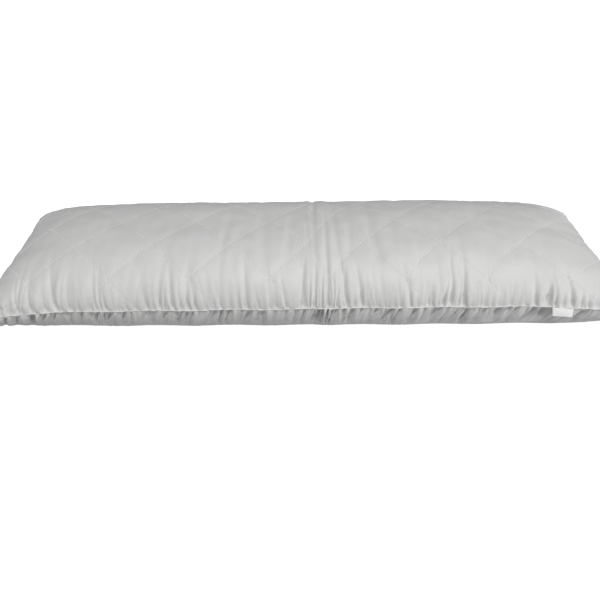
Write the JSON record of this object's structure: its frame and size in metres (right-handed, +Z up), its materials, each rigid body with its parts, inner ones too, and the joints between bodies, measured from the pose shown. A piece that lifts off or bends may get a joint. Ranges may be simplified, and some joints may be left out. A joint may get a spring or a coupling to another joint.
{
  "type": "body pillow",
  "caption": "Long filled body pillow in off-white quilted microfibre, with sewn diamond channels, drawn-in sides, corner ears and a blank sewn-in label.",
  "frame": {"origin": "on the surface the pillow rests on, under the middle of its outline", "axes": "+X along the pillow's length, towards the end nearer the label; -Y towards the front long side, which carries the label; +Z up out of the crowned top face"},
  "size_m": [1.3664, 0.4128, 0.1637],
  "materials": {
    "microfibre": "soft off-white brushed microfibre with a faint sheen",
    "label_tape": "white woven satin tape, left blank"
  },
  "bodies": {
    "root": {"pillow": "microfibre", "label": "label_tape"}
  },
  "joints": []
}
